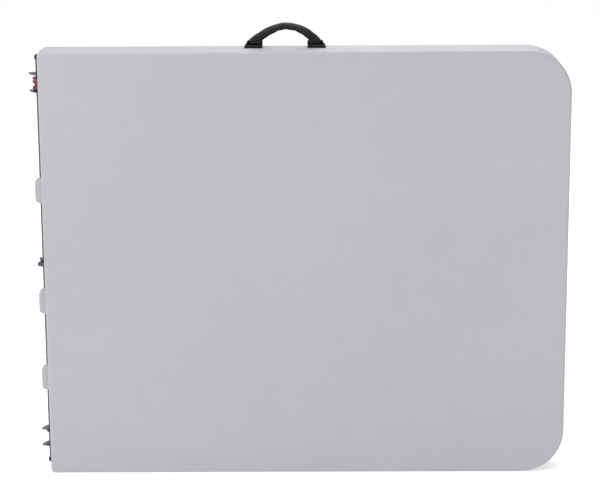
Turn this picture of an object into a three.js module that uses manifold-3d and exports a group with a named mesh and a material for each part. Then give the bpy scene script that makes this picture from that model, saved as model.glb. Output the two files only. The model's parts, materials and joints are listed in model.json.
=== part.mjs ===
// Fold-in-half utility table, folded shut and standing on its long edge.
//
// X runs along the folded length, from the fold edge (-X) to the rounded outer end (+X).
// Y runs through the thickness: the front half is at -Y, the rear half at +Y, and their open
// undersides meet at y = 0. Z is up, and the long edges rest at z = 0. Millimetres.
//
// Both halves carry the same gear: rails, a leg set, a brace and hinge plates. It is drawn once
// in the front half's frame, and the rear half's copy is turned half a turn about a line along X.

import * as THREE from 'three';
import * as BufferGeometryUtils from 'three/addons/utils/BufferGeometryUtils.js';
import Module from 'manifold-3d';

// ---- driving dimensions ----------------------------------------------------------------------

const HALF_LENGTH = 915;
const WIDTH = 756;
const HALF_THICKNESS = 42;
const MATING_GAP = 1;            // between the two rims when folded
const OUTER_CORNER_RADIUS = 75;
const FOLD_CORNER_RADIUS = 6;
const EDGE_ROUNDING = 5;
const RIM = 24;                  // width of the hollow skirt around each underside
const RECESS_CORNER_RADIUS = [34, 12];   // at the outer end, at the fold
const RECESS_DEPTH = 32;         // from the mating plane to the underside of the top

// pockets in the recess floor, where the other half's feet dip in as the table opens
const POCKET_X = [165, 335];     // from the fold plane
const POCKET_REACH = 28;         // half width
const POCKET_DEPTH = 36.5;       // from the mating plane

const HINGE_OFFSET = 3.7;        // hinge axis outside the fold plane
const HINGE_REACH = 20;          // tips of the eared hinge plates beyond the fold plane
const KNUCKLE_REACH = 14.5;      // the same for the middle knuckle
const PLATE = 2;                 // hinge plate thickness
const PLATE_SLOT = [13.5, 18.5]; // half height of the skirt's slots: middle knuckle, hinge plates
const PLATE_SLOT_DEPTH = 30.5;
const ROD_RADIUS = 4;
const ROD_MARGIN = 7;            // cap ends to the long edges
const ROD_CAP_RADIUS = 6;
const ROD_CAP_LENGTH = 8.6;

const RAIL_INSET = 55;           // rail centre line to the long edge
const RAIL_WIDTH = [22.4, 27.6]; // narrow, wide: a wide rail's hinge plates straddle a narrow one's
const RAIL_HEIGHT = 18;
const RAIL_WALL = 2;
const FIT = 0.3;                 // gap between touching pieces

const LEG_PIVOT = 872;           // leg pivot to the fold plane
const LEG_LENGTH = 682;          // leg pivot to the foot's end
const LEG_DEPTH = 18;            // leg pivot below the mating plane
const LEG_RADIUS = 11;
const LEG_TRACK = [266, 293];    // leg centre line from mid-width: front set, rear set
const STUB_RADIUS = 6;           // pivot tube's ends, in the brackets
const BRACKET = 4;               // leg bracket thickness
const FOOT_RADIUS = 11.8;
const FOOT_HEIGHT = 26;

const BRACE_DEPTH = 4.5;         // brace pivots below the mating plane when folded
const BRACE_TO_LEG = 220;        // leg pivot to the brace pivot on the leg set
const BRACE_TO_TOP = 460;        // leg pivot to the brace mount under the top
const BRACE_HALF_DEPTH = 3.6;
const BRACE_LUG = 4;             // half width of the single lug the brace hangs from
const BRACE_STRIP = 3;           // thickness of each brace strip, lug and ear
const PIN_RADIUS = 2.5;
const SPREADER_RADIUS = 8;
const SPREADER_OFFSET = 19;      // spreader centre from the brace pivot, toward the leg pivot
const LEG_SWING = 86;            // degrees from folded to open

const LUG_HEIGHTS = [135, -64.5, -204.5];   // lug centres from mid-width, front half
const LUG = { reach: 12.5, width: 43, shallow: 14, deep: 28, corner: 8 };

const LUG_NOTCH = { reach: 13.5, play: 2, shallow: 10, deep: 32 };   // in the rear half's edge

const LOCK_HEIGHT = 20;
const LOCK_REACH = 12;           // tip of the red lock beyond the fold plane
const LOCK_WAIST = 10.8;         // finger groove above the lock's lower end

const HANDLE_X = 423.5;          // handle centre from the fold plane
const HANDLE_Y = HALF_THICKNESS / 2;
const HANDLE_SPAN = 110;         // between the middles of the two foot blocks
const HANDLE_RISE = 28.5;
const HANDLE_PIVOT = 9;          // grip pivots above the long edge
const GRIP_SECTION = [5.5, 6.5]; // half sizes: in the arch's plane, and across it
const FOOT_BLOCK = [31.4, 28];   // length and depth
const CHEEK = 6;                 // walls of a foot block, at both ends of the grip's eye
const EYE_RADIUS = 6.2;

const ROD_ENDS = [ROD_MARGIN + ROD_CAP_LENGTH, WIDTH - ROD_MARGIN - ROD_CAP_LENGTH];
const FOLD_X = (HINGE_REACH - HALF_LENGTH) / 2;
const HINGE_X = FOLD_X - HINGE_OFFSET;
const MID_Z = WIDTH / 2;
const LEG_X = FOLD_X + LEG_PIVOT;
const BRACKET_FAR = MID_Z - RAIL_INSET - RAIL_WIDTH[1] / 2 - 2 * FIT;
const BRACKET_NEAR = BRACKET_FAR - BRACKET;

// ---- materials -------------------------------------------------------------------------------

const finish = (name, color, roughness, metalness) =>
  new THREE.MeshStandardMaterial({ name, color, roughness, metalness });

const PLASTIC = finish('white_plastic', 0xd6d6da, 0.6, 0);
const STEEL = finish('grey_steel', 0x6d6f73, 0.45, 0.7);
const BLACK = finish('black_plastic', 0x17171b, 0.5, 0);
const RED = finish('red_plastic', 0xc02018, 0.4, 0);

// ---- solids ----------------------------------------------------------------------------------

const wasm = await Module();
wasm.setup();

function toSolid(geometry) {
  const bare = geometry.clone();
  bare.deleteAttribute('normal');
  bare.deleteAttribute('uv');
  const merged = BufferGeometryUtils.mergeVertices(bare, 1e-4);
  return new wasm.Manifold(new wasm.Mesh({
    numProp: 3,
    vertProperties: new Float32Array(merged.attributes.position.array),
    triVerts: new Uint32Array(merged.index.array),
  }));
}

function toGeometry(solid) {
  const mesh = solid.getMesh();
  const geometry = new THREE.BufferGeometry();
  geometry.setAttribute('position', new THREE.BufferAttribute(mesh.vertProperties, 3));
  geometry.setIndex(new THREE.BufferAttribute(mesh.triVerts, 1));
  const flat = geometry.toNonIndexed();
  flat.computeVertexNormals();
  return flat;
}

const join = (...geometries) => toGeometry(
  geometries.map(toSolid).reduce((total, solid) => total.add(solid)),
);

const cut = (body, ...tools) => toGeometry(
  tools.map(toSolid).reduce((total, solid) => total.subtract(solid), toSolid(body)),
);

function box(x, y, z) {
  const geometry = new THREE.BoxGeometry(x[1] - x[0], y[1] - y[0], z[1] - z[0]);
  return geometry.translate((x[0] + x[1]) / 2, (y[0] + y[1]) / 2, (z[0] + z[1]) / 2);
}

// a round bar along Z, from z[0] to z[1]
function barZ(radius, z, x = 0, y = 0, sides = 24) {
  const geometry = new THREE.CylinderGeometry(radius, radius, z[1] - z[0], sides);
  return geometry.rotateX(Math.PI / 2).translate(x, y, (z[0] + z[1]) / 2);
}

// a round bar along X, from x[0] to x[1]
function barX(radius, x, y, z, sides = 24) {
  const geometry = new THREE.CylinderGeometry(radius, radius, x[1] - x[0], sides);
  return geometry.rotateZ(Math.PI / 2).translate((x[0] + x[1]) / 2, y, z);
}

// a flat plate lying in XY, from z[0] to z[1]
function plate(shape, z, curveSegments = 6) {
  const depth = z[1] - z[0];
  const geometry = new THREE.ExtrudeGeometry(shape, { depth, bevelEnabled: false, curveSegments });
  return geometry.translate(0, 0, z[0]);
}

function circle(x, y, radius) {
  return new THREE.Path().absarc(x, y, radius, 0, 2 * Math.PI, true);
}

// a strip with round ends along X, and a pivot hole at the end that has one
function link(x, y, halfDepth, z, holes = []) {
  const shape = new THREE.Shape();
  shape.absarc(x[1], y, halfDepth, -Math.PI / 2, Math.PI / 2);
  shape.absarc(x[0], y, halfDepth, Math.PI / 2, 1.5 * Math.PI);
  shape.closePath();
  shape.holes = holes.map((holeX) => circle(holeX, y, PIN_RADIUS + 0.4));
  return plate(shape, z);
}

// ---- the table top ---------------------------------------------------------------------------

// outline of one half in X and Z, with its two outer corners well rounded
function halfOutline(inset, big, small) {
  const shape = new THREE.Shape();
  const left = FOLD_X + inset;
  const right = FOLD_X + HALF_LENGTH - inset;
  const low = inset;
  const high = WIDTH - inset;
  shape.moveTo(left + small, low);
  shape.absarc(right - big, low + big, big, -Math.PI / 2, 0);
  shape.absarc(right - big, high - big, big, 0, Math.PI / 2);
  shape.absarc(left + small, high - small, small, Math.PI / 2, Math.PI);
  shape.absarc(left + small, low + small, small, Math.PI, 1.5 * Math.PI);
  return shape;
}

// a slab of that outline from the mating plane side (near) down to far, edges rounded by bevel
function slab(inset, [outer, fold], near, far, bevel) {
  const outline = halfOutline(inset + bevel, outer - bevel, fold - bevel);
  const geometry = new THREE.ExtrudeGeometry(outline, {
    depth: near - far - 2 * bevel,
    bevelEnabled: bevel > 0,
    bevelThickness: bevel,
    bevelSize: bevel,
    bevelSegments: 2,
    curveSegments: 8,
  });
  return geometry.rotateX(Math.PI / 2).translate(0, near - bevel, 0);
}

// an interlocking lug on the fold edge, rounded where it sticks out
function lug(height) {
  const { reach, width, shallow, deep, corner } = LUG;
  const shape = new THREE.Shape();
  shape.moveTo(FOLD_X + 4, -width / 2);
  shape.lineTo(FOLD_X + 4, width / 2);
  shape.absarc(FOLD_X - reach + corner, width / 2 - corner, corner, Math.PI / 2, Math.PI);
  shape.absarc(FOLD_X - reach + corner, -width / 2 + corner, corner, Math.PI, 1.5 * Math.PI);
  const geometry = plate(shape, [shallow, deep], 4);
  return geometry.rotateX(Math.PI / 2).translate(0, 0, MID_Z + height);
}

// the front half has the lugs, and the rear half has the notches that they enter when it is open
function topHalf(half) {
  const outline = [OUTER_CORNER_RADIUS, FOLD_CORNER_RADIUS];
  const bodies = [slab(0, outline, -MATING_GAP / 2, -HALF_THICKNESS, EDGE_ROUNDING)];
  const tools = [
    slab(RIM, RECESS_CORNER_RADIUS, 1, -RECESS_DEPTH, 0),
    barZ(ROD_RADIUS + 0.9, [-1, WIDTH + 1], HINGE_X, 0),
    barZ(ROD_CAP_RADIUS + 0.9, [-1, ROD_ENDS[0] + 1], HINGE_X, 0),
    barZ(ROD_CAP_RADIUS + 0.9, [ROD_ENDS[1] - 1, WIDTH + 1], HINGE_X, 0),
  ];
  if (half === 0) {
    LUG_HEIGHTS.forEach((height) => bodies.push(lug(height)));
  } else {
    const notchReach = LUG.width / 2 + LUG_NOTCH.play;
    LUG_HEIGHTS.forEach((height) => tools.push(box(
      [FOLD_X - 3, FOLD_X + LUG_NOTCH.reach],
      [-LUG_NOTCH.deep, -LUG_NOTCH.shallow],
      [MID_Z - height - notchReach, MID_Z - height + notchReach],
    )));
  }
  // slots through the fold skirt for the hinge plates
  [RAIL_INSET, MID_Z, WIDTH - RAIL_INSET].forEach((height) => {
    const reach = height === MID_Z ? PLATE_SLOT[0] : PLATE_SLOT[1];
    tools.push(box([FOLD_X - 12, FOLD_X + RIM + 4], [-PLATE_SLOT_DEPTH, 2],
      [height - reach, height + reach]));
  });
  const pocketX = POCKET_X.map((x) => FOLD_X + x);
  [-1, 1].forEach((side) => {
    const middle = MID_Z + side * (LEG_TRACK[0] + LEG_TRACK[1]) / 2;
    tools.push(box(pocketX, [-POCKET_DEPTH, -RECESS_DEPTH + 1],
      [middle - POCKET_REACH, middle + POCKET_REACH]));
  });
  return cut(join(...bodies), ...tools);
}

// ---- gear under one half (front half's frame) --------------------------------------------------

function rail(height, width) {
  const x = [FOLD_X + 28, FOLD_X + 882];
  const y = [-RECESS_DEPTH + FIT, -RECESS_DEPTH + FIT + RAIL_HEIGHT];
  const half = width / 2;
  const outer = box(x, y, [height - half, height + half]);
  const inner = box([x[0] - 1, x[1] + 1], [y[0] + RAIL_WALL, y[1] - RAIL_WALL],
    [height - half + RAIL_WALL, height + half - RAIL_WALL]);
  return cut(outer, inner);
}

// Hinge plates grip a rail's sides, pass through the fold skirt and carry the hinge rod. They start
// with the same tail on the rail. A narrow rail's plates end in a plain nose round the rod. A wide
// rail's end in an ear that stands proud of the fold edge, outside the other half's noses.
function hingePlateShape(wide) {
  const floor = -RECESS_DEPTH + 0.6;
  const shape = new THREE.Shape();
  shape.moveTo(FOLD_X + 62, floor);
  shape.lineTo(FOLD_X + 62, floor + RAIL_HEIGHT - 2);
  shape.lineTo(FOLD_X + 34, floor + RAIL_HEIGHT - 2);
  shape.lineTo(FOLD_X + 12, 6);
  if (!wide) {
    shape.absarc(HINGE_X, 0, 8.5, 0.7, Math.PI);
    shape.quadraticCurveTo(FOLD_X - 9, -10, FOLD_X - 4, -18);
  } else {
    shape.absarc(HINGE_X, 0, 9, 0.7, 1.7);
    shape.lineTo(FOLD_X - HINGE_REACH + 1.5, 3.6);
    shape.lineTo(FOLD_X - HINGE_REACH, 2);
    shape.quadraticCurveTo(FOLD_X - HINGE_REACH + 1.5, -15, FOLD_X - 3, -26.5);
  }
  shape.lineTo(FOLD_X + 27, -28);
  shape.lineTo(FOLD_X + 36, floor);
  shape.holes.push(circle(HINGE_X, 0, ROD_RADIUS + FIT));
  return shape;
}

function hingePlate(height, wide, side) {
  const near = RAIL_WIDTH[wide] / 2 + FIT;
  const z = side > 0 ? [near, near + PLATE] : [-near - PLATE, -near];
  return plate(hingePlateShape(wide), [height + z[0], height + z[1]]);
}

// small middle knuckle, screwed to the underside behind the fold skirt
function middleKnuckle(z) {
  const shape = new THREE.Shape();
  shape.moveTo(FOLD_X + 70, -RECESS_DEPTH + FIT);
  shape.lineTo(FOLD_X + 70, -RECESS_DEPTH + 4);
  shape.lineTo(FOLD_X + 40, -RECESS_DEPTH + 4);
  shape.lineTo(FOLD_X + 10, 5);
  shape.absarc(HINGE_X, 0, 7.5, 0.7, Math.PI);
  shape.quadraticCurveTo(FOLD_X - KNUCKLE_REACH, -4, FOLD_X - KNUCKLE_REACH, -14);
  shape.lineTo(FOLD_X + 27, -24);
  shape.lineTo(FOLD_X + 34, -RECESS_DEPTH + FIT);
  shape.holes.push(circle(HINGE_X, 0, ROD_RADIUS + FIT));
  return plate(shape, [MID_Z + z[0], MID_Z + z[1]]);
}

// bracket between rail and leg set: the pivot tube's stub turns in its hole
function legBracket(side) {
  const shape = new THREE.Shape();
  shape.moveTo(LEG_X - 22, -RECESS_DEPTH + FIT);
  shape.lineTo(LEG_X + 14, -RECESS_DEPTH + FIT);
  shape.lineTo(LEG_X + 14, -8);
  shape.lineTo(LEG_X - 14, -8);
  shape.closePath();
  shape.holes.push(circle(LEG_X, -LEG_DEPTH, STUB_RADIUS + FIT));
  const z = side > 0 ? [BRACKET_NEAR, BRACKET_FAR] : [-BRACKET_FAR, -BRACKET_NEAR];
  return plate(shape, [MID_Z + z[0], MID_Z + z[1]]);
}

// cross tube that the legs hang from, necked down to a stub at each end
function pivotTube() {
  const end = BRACKET_NEAR - FIT;
  const tip = BRACKET_FAR;
  const points = [
    [0, -tip], [STUB_RADIUS, -tip], [STUB_RADIUS, -end], [LEG_RADIUS, -end],
    [LEG_RADIUS, end], [STUB_RADIUS, end], [STUB_RADIUS, tip], [0, tip],
  ].map(([r, along]) => new THREE.Vector2(r, along));
  const geometry = new THREE.LatheGeometry(points, 24);
  return geometry.rotateX(Math.PI / 2).translate(LEG_X, -LEG_DEPTH, MID_Z);
}

function legTube(height) {
  const x = [LEG_X - LEG_LENGTH + FOOT_HEIGHT + FIT, LEG_X - LEG_RADIUS - FIT];
  return barX(LEG_RADIUS, x, -LEG_DEPTH, MID_Z + height);
}

// foot cap, with a domed end
function foot(height) {
  const dome = 4;
  const points = [
    [0, 0], [FOOT_RADIUS - dome, 0], [FOOT_RADIUS - 1.2, 1.2],
    [FOOT_RADIUS, dome], [FOOT_RADIUS, FOOT_HEIGHT], [0, FOOT_HEIGHT],
  ].map(([r, along]) => new THREE.Vector2(r, along));
  const geometry = new THREE.LatheGeometry(points, 24);
  return geometry.rotateZ(-Math.PI / 2).translate(LEG_X - LEG_LENGTH, -LEG_DEPTH, MID_Z + height);
}

const BRACE_LEG_X = LEG_X - BRACE_TO_LEG;
const BRACE_TOP_X = LEG_X - BRACE_TO_TOP;

// The brace lies flat when folded and is straight when the leg is out. The two states fix the
// lengths of the long strips (on the leg set) and the short strips (under the top).
function braceLengths() {
  const swing = THREE.MathUtils.degToRad(LEG_SWING);
  const rise = LEG_DEPTH - BRACE_DEPTH;
  const openX = -BRACE_TO_LEG * Math.cos(swing) + rise * Math.sin(swing) + BRACE_TO_TOP;
  const openY = BRACE_TO_LEG * Math.sin(swing) + rise * Math.cos(swing) - rise;
  const straight = Math.hypot(openX, openY);
  const flat = BRACE_TO_TOP - BRACE_TO_LEG;
  return { long: (straight + flat) / 2, short: (straight - flat) / 2 };
}

const ELBOW_X = BRACE_LEG_X - braceLengths().long;

// the layers of the brace, from mid-width outward: lug, short strip, long strip, ear
const layer = (count) => BRACE_LUG + FIT + count * (BRACE_STRIP + FIT);
const SHORT_LAYER = [layer(0), layer(0) + BRACE_STRIP];
const LONG_LAYER = [layer(1), layer(1) + BRACE_STRIP];
const EAR_LAYER = [layer(2), layer(2) + BRACE_STRIP];

// a span measured from mid-width, on one side of it
function sideSpan(side, [near, far]) {
  return side > 0 ? [MID_Z + near, MID_Z + far] : [MID_Z - far, MID_Z - near];
}

// cross tube between the legs, with two ears whose studs carry the long brace strips
function spreader(track) {
  const end = track - LEG_RADIUS - FIT;
  const x = BRACE_LEG_X + SPREADER_OFFSET;
  const parts = [barZ(SPREADER_RADIUS, [MID_Z - end, MID_Z + end], x, -LEG_DEPTH)];
  [-1, 1].forEach((side) => {
    parts.push(box([BRACE_LEG_X - 4, x + 3], [-LEG_DEPTH, -0.9], sideSpan(side, EAR_LAYER)));
    const stud = sideSpan(side, [LONG_LAYER[0], EAR_LAYER[0] + 1]);
    parts.push(barZ(PIN_RADIUS, stud, BRACE_LEG_X, -BRACE_DEPTH, 16));
  });
  return join(...parts);
}

function longStrip(side) {
  return link([ELBOW_X, BRACE_LEG_X], -BRACE_DEPTH, BRACE_HALF_DEPTH,
    sideSpan(side, LONG_LAYER), [ELBOW_X, BRACE_LEG_X]);
}

function shortStrip(side) {
  return link([ELBOW_X, BRACE_TOP_X], -BRACE_DEPTH, BRACE_HALF_DEPTH,
    sideSpan(side, SHORT_LAYER), [ELBOW_X, BRACE_TOP_X]);
}

// mount under the top: a foot plate, one lug and a pin through the short strips' ends
function braceMount() {
  const floor = -RECESS_DEPTH + FIT;
  const base = box([BRACE_TOP_X - 22, BRACE_TOP_X + 22], [floor, floor + 2.7],
    [MID_Z - 30, MID_Z + 30]);
  const lugShape = new THREE.Shape();
  lugShape.moveTo(BRACE_TOP_X - 12, floor + 1);
  lugShape.lineTo(BRACE_TOP_X + 12, floor + 1);
  lugShape.absarc(BRACE_TOP_X, -BRACE_DEPTH, BRACE_HALF_DEPTH, 0.3, Math.PI - 0.3);
  const lugPlate = plate(lugShape, [MID_Z - BRACE_LUG, MID_Z + BRACE_LUG]);
  const pin = barZ(PIN_RADIUS, [MID_Z - SHORT_LAYER[1], MID_Z + SHORT_LAYER[1]],
    BRACE_TOP_X, -BRACE_DEPTH, 16);
  return join(base, lugPlate, pin);
}

// ---- single pieces ---------------------------------------------------------------------------

function rodCap(high) {
  const points = [
    [0, 0], [ROD_CAP_RADIUS, 0], [ROD_CAP_RADIUS, 5], [ROD_CAP_RADIUS - 1.5, ROD_CAP_LENGTH - 1],
    [0, ROD_CAP_LENGTH],
  ].map(([r, along]) => new THREE.Vector2(r, along));
  const geometry = new THREE.LatheGeometry(points, 20).rotateX(high ? Math.PI / 2 : -Math.PI / 2);
  const z = high ? ROD_ENDS[1] + FIT : ROD_ENDS[0] - FIT;
  return geometry.translate(HINGE_X, 0, z);
}

// red lock: slides along the rod between the upper hinge plates
function lockBody() {
  const middle = WIDTH - RAIL_INSET;
  const shape = new THREE.Shape();
  shape.moveTo(FOLD_X - LOCK_REACH, -17);
  shape.lineTo(FOLD_X + 20, -20);
  shape.lineTo(FOLD_X + 20, -9);
  shape.lineTo(FOLD_X + 8, 5);
  shape.absarc(HINGE_X, 0, 7.6, 0.6, Math.PI);
  shape.closePath();
  shape.holes.push(circle(HINGE_X, 0, ROD_RADIUS + FIT));
  const low = middle - RAIL_WIDTH[0] / 2;
  const waist = low + LOCK_WAIST;
  const groove = barZ(4, [waist, waist + 1.6], FOLD_X - LOCK_REACH - 1, -14, 16);
  return cut(plate(shape, [low, low + LOCK_HEIGHT]), groove);
}

// a profile drawn in Y and Z, run along X from x[0] to x[1]
function runX(shape, x) {
  return plate(shape, x).rotateX(Math.PI / 2).rotateZ(Math.PI / 2);
}

// foot block of the carry handle: two cheeks that hold the pin through the grip's eye
function handleMount(side) {
  const middle = FOLD_X + HANDLE_X + side * HANDLE_SPAN / 2;
  const [half, depth] = FOOT_BLOCK.map((size) => size / 2);
  const block = new THREE.Shape();
  block.moveTo(-depth, FIT);
  block.lineTo(depth, FIT);
  block.lineTo(depth - 2, HANDLE_PIVOT - 3);
  block.absarc(0, HANDLE_PIVOT - 1, 7.5, 0.1, Math.PI - 0.1);
  block.lineTo(-depth + 2, HANDLE_PIVOT - 3);
  const slot = new THREE.Shape();
  slot.moveTo(-depth - 1, 1.8);
  slot.lineTo(depth + 1, 1.8);
  slot.lineTo(depth + 1, 2 * half);
  slot.lineTo(-depth - 1, 2 * half);
  const slotReach = half - CHEEK;
  const hole = barX(PIN_RADIUS + FIT, [-half - 1, half + 1], 0, HANDLE_PIVOT, 16);
  const mount = cut(runX(block, [-half, half]), runX(slot, [-slotReach, slotReach]), hole);
  return mount.translate(middle, HANDLE_Y, WIDTH);
}

// centre line of the carry grip: a low arch that comes down upright into its foot blocks
class GripArch extends THREE.Curve {
  getPoint(t, target = new THREE.Vector3()) {
    const angle = Math.PI * (1 - t);
    const x = (HANDLE_SPAN / 2) * Math.cos(angle);
    const z = HANDLE_RISE * Math.pow(Math.sin(angle), 1.2);
    return target.set(x, 0, z);
  }
}

// the grip: an oval arch with an eye and a pin at each end, both on one line along X
function grip() {
  const section = new THREE.Shape();
  section.absellipse(0, 0, GRIP_SECTION[1], GRIP_SECTION[0], 0, 2 * Math.PI);
  const arch = new THREE.ExtrudeGeometry(section, {
    steps: 22,
    curveSegments: 5,
    bevelEnabled: false,
    extrudePath: new GripArch(),
  });
  const parts = [arch];
  const eyeReach = FOOT_BLOCK[0] / 2 - CHEEK - FIT;
  const pinReach = FOOT_BLOCK[0] / 2 - 0.5;
  [-1, 1].forEach((side) => {
    const middle = side * HANDLE_SPAN / 2;
    parts.push(barX(EYE_RADIUS, [middle - eyeReach, middle + eyeReach], 0, 0, 20));
    parts.push(barX(PIN_RADIUS, [middle - pinReach, middle + pinReach], 0, 0, 16));
  });
  return join(...parts).translate(FOLD_X + HANDLE_X, HANDLE_Y, WIDTH + HANDLE_PIVOT);
}

// ---- assembly --------------------------------------------------------------------------------

const table = new THREE.Group();

// the rear half's gear is the front half's, turned about the line y = 0, z = MID_Z along X
const frontFrame = new THREE.Group();
const rearFrame = new THREE.Group();
rearFrame.rotation.x = Math.PI;
rearFrame.position.z = WIDTH;
table.add(frontFrame, rearFrame);

function add(frame, name, geometry, material) {
  const mesh = new THREE.Mesh(geometry, material);
  mesh.name = name;
  frame.add(mesh);
}

// which long edge a piece is near, seen in the folded table: turning the gear swaps them
const edgeName = (half, side) => ((half === 0) === (side > 0) ? 'upper' : 'lower');

['front', 'rear'].forEach((label, half) => {
  const frame = half === 0 ? frontFrame : rearFrame;
  add(frame, `${label}_top_half`, topHalf(half), PLASTIC);
  add(frame, `${label}_pivot_tube`, pivotTube(), STEEL);
  add(frame, `${label}_leg_spreader`, spreader(LEG_TRACK[half]), STEEL);
  add(frame, `${label}_brace_mount`, braceMount(), STEEL);
  [-1, 1].forEach((side) => {
    const edge = edgeName(half, side);
    const height = MID_Z + side * (MID_Z - RAIL_INSET);
    const wide = side > 0 ? 1 : 0;
    add(frame, `${label}_${edge}_rail`, rail(height, RAIL_WIDTH[wide]), STEEL);
    add(frame, `${label}_${edge}_hinge_plate_outer`, hingePlate(height, wide, side), STEEL);
    add(frame, `${label}_${edge}_hinge_plate_inner`, hingePlate(height, wide, -side), STEEL);
    add(frame, `${label}_${edge}_leg_bracket`, legBracket(side), STEEL);
    add(frame, `${label}_${edge}_leg`, legTube(side * LEG_TRACK[half]), STEEL);
    add(frame, `${label}_${edge}_foot`, foot(side * LEG_TRACK[half]), BLACK);
    add(frame, `${label}_${edge}_brace_long_strip`, longStrip(side), STEEL);
    add(frame, `${label}_${edge}_brace_short_strip`, shortStrip(side), STEEL);
  });
});

add(frontFrame, 'front_middle_knuckle', middleKnuckle([-3, 3]), STEEL);
add(rearFrame, 'rear_middle_knuckle_a', middleKnuckle([3.4, 6.4]), STEEL);
add(rearFrame, 'rear_middle_knuckle_b', middleKnuckle([-6.4, -3.4]), STEEL);

add(table, 'hinge_rod', barZ(ROD_RADIUS, ROD_ENDS, HINGE_X, 0), STEEL);
add(table, 'hinge_rod_cap_upper', rodCap(true), BLACK);
add(table, 'hinge_rod_cap_lower', rodCap(false), BLACK);
add(table, 'red_lock', lockBody(), RED);
add(table, 'handle_mount_fold_side', handleMount(-1), BLACK);
add(table, 'handle_mount_outer_side', handleMount(1), BLACK);
add(table, 'handle_grip', grip(), BLACK);

export default table;
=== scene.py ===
# %% [markdown]
# # A table that folds in half
#
# Two blow-moulded plastic halves are hinged along one short edge and stand folded on a long edge.
# Rails, leg sets and braces hide between them, and a carry handle sits on the upper long edge.
#
# The CAD model already holds every size and every moving body. It is loaded first, as a fixed
# frame, and each piece made here takes its place from a CAD node and moves with a CAD body.

import json
import math

import bmesh
import bpy
import numpy as np
from mathutils import Matrix, Vector


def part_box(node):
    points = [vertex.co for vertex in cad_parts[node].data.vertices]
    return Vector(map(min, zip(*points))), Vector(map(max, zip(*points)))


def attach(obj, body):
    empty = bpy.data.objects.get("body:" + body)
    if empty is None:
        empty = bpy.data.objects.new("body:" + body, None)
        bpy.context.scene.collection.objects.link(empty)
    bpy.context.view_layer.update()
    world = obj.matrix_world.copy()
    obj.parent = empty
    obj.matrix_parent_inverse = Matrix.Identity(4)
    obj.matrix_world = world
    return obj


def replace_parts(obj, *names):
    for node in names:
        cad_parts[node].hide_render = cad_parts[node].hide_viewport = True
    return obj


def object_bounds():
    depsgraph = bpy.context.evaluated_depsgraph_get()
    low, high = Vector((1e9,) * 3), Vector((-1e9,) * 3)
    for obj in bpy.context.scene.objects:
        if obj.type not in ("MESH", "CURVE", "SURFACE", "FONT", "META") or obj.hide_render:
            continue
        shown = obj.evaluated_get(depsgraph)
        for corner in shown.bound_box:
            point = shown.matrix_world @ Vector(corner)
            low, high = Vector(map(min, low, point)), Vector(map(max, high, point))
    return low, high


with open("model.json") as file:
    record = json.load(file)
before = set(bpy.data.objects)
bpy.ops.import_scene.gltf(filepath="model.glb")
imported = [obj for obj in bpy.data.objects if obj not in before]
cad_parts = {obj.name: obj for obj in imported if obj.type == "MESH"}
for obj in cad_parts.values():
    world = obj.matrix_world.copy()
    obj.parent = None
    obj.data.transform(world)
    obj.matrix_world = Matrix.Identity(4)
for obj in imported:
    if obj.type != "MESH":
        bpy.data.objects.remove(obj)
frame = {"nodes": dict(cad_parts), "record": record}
cad_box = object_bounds()


# %% [markdown]
# ## Where things are
#
# The pieces are drawn in millimetres, which suit plastic and sheet steel better than metres, and
# are scaled once, when a mesh is made. The main planes come from the CAD boxes: the rear half,
# which has no lugs, gives the fold, and the front half gives the outer end, face and width.

# %% Main planes, in millimetres
def corners(node):
    """Lowest and highest corner of a CAD node, in millimetres."""
    low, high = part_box(node)
    return np.array(low) * 1000, np.array(high) * 1000


ROD = sum(corners("hinge_rod")) / 2
FOLD = corners("rear_top_half")[0][0]
OUTER = corners("front_top_half")[1][0]
FACE = corners("front_top_half")[0][1]
WIDTH = corners("front_top_half")[1][2]
MIDDLE = WIDTH / 2
print(f"fold plane {FOLD:.1f}, outer end {OUTER:.1f}, face {FACE:.1f}, width {WIDTH:.1f}")


# %% [markdown]
# ## Tools for surfaces
#
# Every new piece is a grid of points worked out from a formula, with four-sided faces between
# neighbouring points. A row may shrink to one point, which closes an end, so coinciding points
# are merged when the mesh is made. Normals are then recalculated on the closed shape, and edges
# that turn sharply stay crisp while the rest is shaded smoothly.

# %% Grids, outlines and meshes
def grid_faces(rows, columns, loop_rows=False, loop_columns=True):
    """Faces of a grid: each joins a point to its neighbours in the next row and next column.
    A looped direction joins its last line back to its first."""
    row, column = np.meshgrid(np.arange(rows if loop_rows else rows - 1),
                              np.arange(columns if loop_columns else columns - 1), indexing="ij")
    next_row, next_column = (row + 1) % rows, (column + 1) % columns
    faces = [row * columns + column, row * columns + next_column,
             next_row * columns + next_column, next_row * columns + column]
    return np.stack(faces, -1).reshape(-1, 4)


def unit(vector):
    """The vector at length one."""
    vector = np.array(vector, float)
    return vector / np.linalg.norm(vector, axis=-1, keepdims=True)


def softened(outline, radius, steps=4):
    """Rounds the corners of a closed outline. Each corner becomes a quadratic Bezier bend that
    starts radius before it, ends radius after it and is pulled toward it in between."""
    outline = np.array(outline, float)
    radius = np.broadcast_to(radius, len(outline))[:, None]
    before, after = np.roll(outline, 1, 0) - outline, np.roll(outline, -1, 0) - outline
    reach = [np.minimum(radius, 0.49 * np.linalg.norm(side, axis=1, keepdims=True))
             for side in (before, after)]
    start, end = outline + unit(before) * reach[0], outline + unit(after) * reach[1]
    t = np.linspace(0, 1, steps)[None, :, None]
    bend = (1 - t) ** 2 * start[:, None] + 2 * t * (1 - t) * outline[:, None] + t ** 2 * end[:, None]
    return bend.reshape(-1, 2)


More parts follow.
